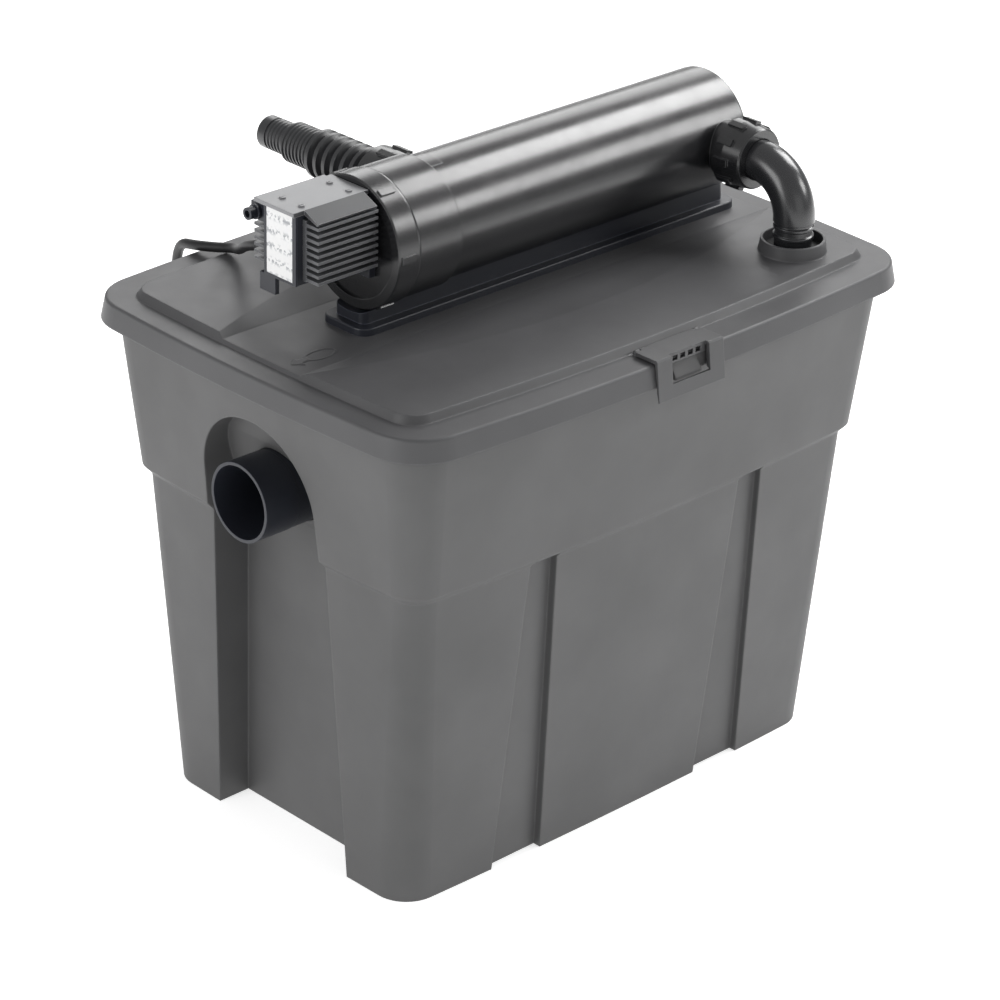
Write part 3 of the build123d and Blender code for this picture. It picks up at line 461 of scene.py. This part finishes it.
def coil_points():
    """Control points of the coil's turns: across each layer, then down to the next."""
    low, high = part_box("cord_coil")
    centre = (low + high) / 2
    outer = (high.x - low.x) / 2 - CORD_RADIUS
    pitch = 2 * CORD_RADIUS
    places = []
    for layer in reversed(range(COIL_LAYERS)):
        columns = range(COIL_COLUMNS)
        inward = layer % 2 == 1
        for column in (columns if inward else reversed(columns)):
            places.append((outer - column * pitch, CORD_RADIUS + layer * pitch))
    outside = 1 / math.cos(math.pi / TURN_POINTS)
    points = []
    for turn, (radius, height) in enumerate(places):
        next_radius, next_height = places[min(turn + 1, len(places) - 1)]
        for step in range(TURN_POINTS):
            done = (step + 0.5) / TURN_POINTS
            late = (done - 1 + SHIFT_PART) / SHIFT_PART
            across = smooth_step(late / SHIFT_SHARE)
            down = smooth_step((late - 1 + SHIFT_SHARE) / SHIFT_SHARE)
            r = outside * (radius + (next_radius - radius) * across)
            z = height + (next_height - height) * down
            angle = 2 * math.pi * done - math.pi / 2
            points.append((centre.x + r * math.cos(angle), centre.y + r * math.sin(angle), z))
    return points


def make_cord(materials):
    """The whole lead as one smooth spline, from the cable entry to the plug."""
    points = CORD_START + coil_points() + CORD_TAIL
    curve = bpy.data.curves.new("power_lead", "CURVE")
    curve.dimensions = "3D"
    curve.bevel_depth = CORD_RADIUS
    curve.bevel_resolution = 5
    curve.resolution_u = 6
    curve.use_fill_caps = True
    spline = curve.splines.new("NURBS")
    spline.points.add(len(points) - 1)
    for control, point in zip(spline.points, points):
        control.co = (*point, 1.0)
    spline.order_u = 3
    spline.use_endpoint_u = True
    curve.materials.append(materials["cord_rubber"])
    lead = bpy.data.objects.new("power_lead", curve)
    bpy.context.scene.collection.objects.link(lead)
    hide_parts("power_cord", "cord_coil", "cord_tail")
    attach(lead, "head")
    relief = make_strain_relief(materials)
    ties = [make_coil_tie(number, angle, materials) for number, angle in enumerate(TIE_ANGLES, start=1)]


def make_strain_relief(materials):
    """Tapered ribbed sleeve on the lead, where it leaves the cable gland."""
    low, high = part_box("cable_gland")
    centre_x = (low.x + high.x) / 2
    centre_z = (low.z + high.z) / 2
    length, rib = 22 * MM, 2.2 * MM
    bore = CORD_RADIUS + 0.05 * MM
    profile = [(-1 * MM, bore)]
    count = int(length / (2 * rib))
    for number in range(count):
        along = number * 2 * rib
        radius = 6.6 * MM - number * 0.35 * MM
        root = radius - 0.9 * MM
        profile += [(along, radius), (along + rib, radius), (along + rib, root), (along + 2 * rib, root)]
    profile.append((count * 2 * rib, bore))
    mesh = lathe(profile, (centre_x, high.y, centre_z), (0, 1, 0), sides=32)
    return add_piece("strain_relief", mesh, "head", "seal_rubber", materials, smooth=False)


def make_coil_tie(number, angle, materials):
    """Flat strap round the coil's section, at an angle round the coil."""
    low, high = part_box("cord_coil")
    centre = (low + high) / 2
    outer = (high.x - low.x) / 2
    inner = outer - COIL_COLUMNS * 2 * CORD_RADIUS
    gap, thick, half_wide = 0.3 * MM, 0.8 * MM, 6 * MM
    floor_z = 0.05 * MM
    work = bmesh.new()
    across = Vector((math.cos(angle), math.sin(angle), 0))
    along = Vector((-math.sin(angle), math.cos(angle), 0))
    middle = Vector((centre.x, centre.y, 0)) + across * (inner + outer) / 2
    corner, half_r = 4 * MM, (outer - inner) / 2 + gap
    corner_steps = 4
    loops = []
    for out in (0, thick):
        loop = []
        for side_x, side_z, start in ((1, 1, 0), (-1, 1, 90), (-1, 0, 180), (1, 0, 270)):
            for step in range(corner_steps + 1):
                turn = math.radians(start + step * 90 / corner_steps)
                r = side_x * (half_r - corner) + (corner + out) * math.cos(turn)
                z_middle = high.z - corner + gap if side_z else corner + floor_z + thick
                loop.append((r, max(floor_z, z_middle + (corner + out) * math.sin(turn))))
        loops.append(loop)
    rings = []
    for loop in loops:
        for offset in (-half_wide, half_wide):
            base = middle + along * offset
            rings.append([work.verts.new(base + across * r + Vector((0, 0, z))) for r, z in loop])
    inner_low, inner_high, outer_low, outer_high = rings
    count = len(inner_low)
    for i in range(count):
        j = (i + 1) % count
        work.faces.new((outer_low[i], outer_low[j], outer_high[j], outer_high[i]))
        work.faces.new((inner_low[i], inner_high[i], inner_high[j], inner_low[j]))
        work.faces.new((inner_low[i], inner_low[j], outer_low[j], outer_low[i]))
        work.faces.new((inner_high[i], outer_high[i], outer_high[j], inner_high[j]))
    bmesh.ops.recalc_face_normals(work, faces=work.faces)
    mesh = bpy.data.meshes.new("coil_tie")
    work.to_mesh(mesh)
    work.free()
    return add_piece(f"coil_tie_{number}", mesh, "head", "seal_rubber", materials, smooth=False)


# ---------------------------------------------------------------- foams
def make_foams(materials):
    """Porous cut foam in place of each plain foam block."""
    for kind in ("coarse", "fine"):
        for number in (1, 2, 3):
            node = f"{kind}_foam_{number}"
            mesh = NODES[node].data.copy()
            mesh.materials.clear()
            piece = add_piece(f"{node}_block", mesh, "tub", f"{kind}_foam", materials)
            remesh = piece.modifiers.new("remesh", "REMESH")
            remesh.mode = "VOXEL"
            remesh.voxel_size = 4 * MM
            texture = bpy.data.textures.new(f"{node}_cells", "VORONOI")
            texture.noise_scale = 9 * MM
            push = piece.modifiers.new("cells", "DISPLACE")
            push.texture = texture
            push.texture_coords = "LOCAL"
            push.strength = -1.2 * MM
            push.mid_level = 0.0
            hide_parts(node)


# ---------------------------------------------------------------- stage
def make_floor():
    """Pale seamless floor, bright enough to read as white paper."""
    work = bmesh.new()
    bmesh.ops.create_grid(work, x_segments=8, y_segments=8, size=12.0)
    mesh = bpy.data.meshes.new("floor")
    work.to_mesh(mesh)
    work.free()
    floor = bpy.data.objects.new("floor", mesh)
    floor.location.z = min(0.0, cad_low.z)
    bpy.context.scene.collection.objects.link(floor)
    made = Shader("paper")
    fibres = made.noise(2 * MM)
    tone = made.ramp(fibres, [(0.3, (0.90, 0.90, 0.90)), (0.7, (0.92, 0.92, 0.92))])
    rough = made.spread(fibres, 0.85, 0.95)
    mesh.materials.append(made.finish(tone, rough, made.bump(fibres, 0.05, 0.1 * MM)))
    made.bsdf.inputs["Emission Color"].default_value = (1, 1, 1, 1)
    made.bsdf.inputs["Emission Strength"].default_value = 0.62


def make_light(name, place, aim, size, power):
    data = bpy.data.lights.new(name, "AREA")
    data.shape = "RECTANGLE"
    data.size, data.size_y = size
    data.energy = power
    light = bpy.data.objects.new(name, data)
    light.location = place
    light.rotation_euler = (Vector(aim) - Vector(place)).to_track_quat("-Z", "Y").to_euler()
    bpy.context.scene.collection.objects.link(light)


def make_stage():
    make_floor()
    world = bpy.data.worlds.new("studio")
    world.use_nodes = True
    world.node_tree.nodes["Background"].inputs["Color"].default_value = (1.0, 1.0, 1.0, 1.0)
    world.node_tree.nodes["Background"].inputs["Strength"].default_value = 0.42
    bpy.context.scene.world = world
    centre = (cad_low + cad_high) / 2
    tube = centre + Vector((0, 0, 0.2))            # about the clarifier's height
    make_light("right_softbox", tube + Vector((2.2, -0.1, 1.9)), tube, (1.3, 1.5), 56)
    make_light("front_right_softbox", tube + Vector((1.9, -1.8, 1.2)), tube, (1.0, 0.8), 18)
    make_light("back_right_softbox", tube + Vector((1.9, 1.9, 1.2)), tube, (2.4, 1.2), 24)
    make_light("left_softbox", centre + Vector((-2.3, 0.2, 0.9)), centre, (1.4, 1.4), 20)
    make_light("front_fill", centre + Vector((-0.3, -2.6, 0.7)), centre, (1.8, 1.2), 3)
    bpy.context.scene.view_settings.view_transform = "Standard"


make_camera()
materials = make_materials()
make_cord(materials)
paint_frame(materials)
make_foams(materials)
make_stage()
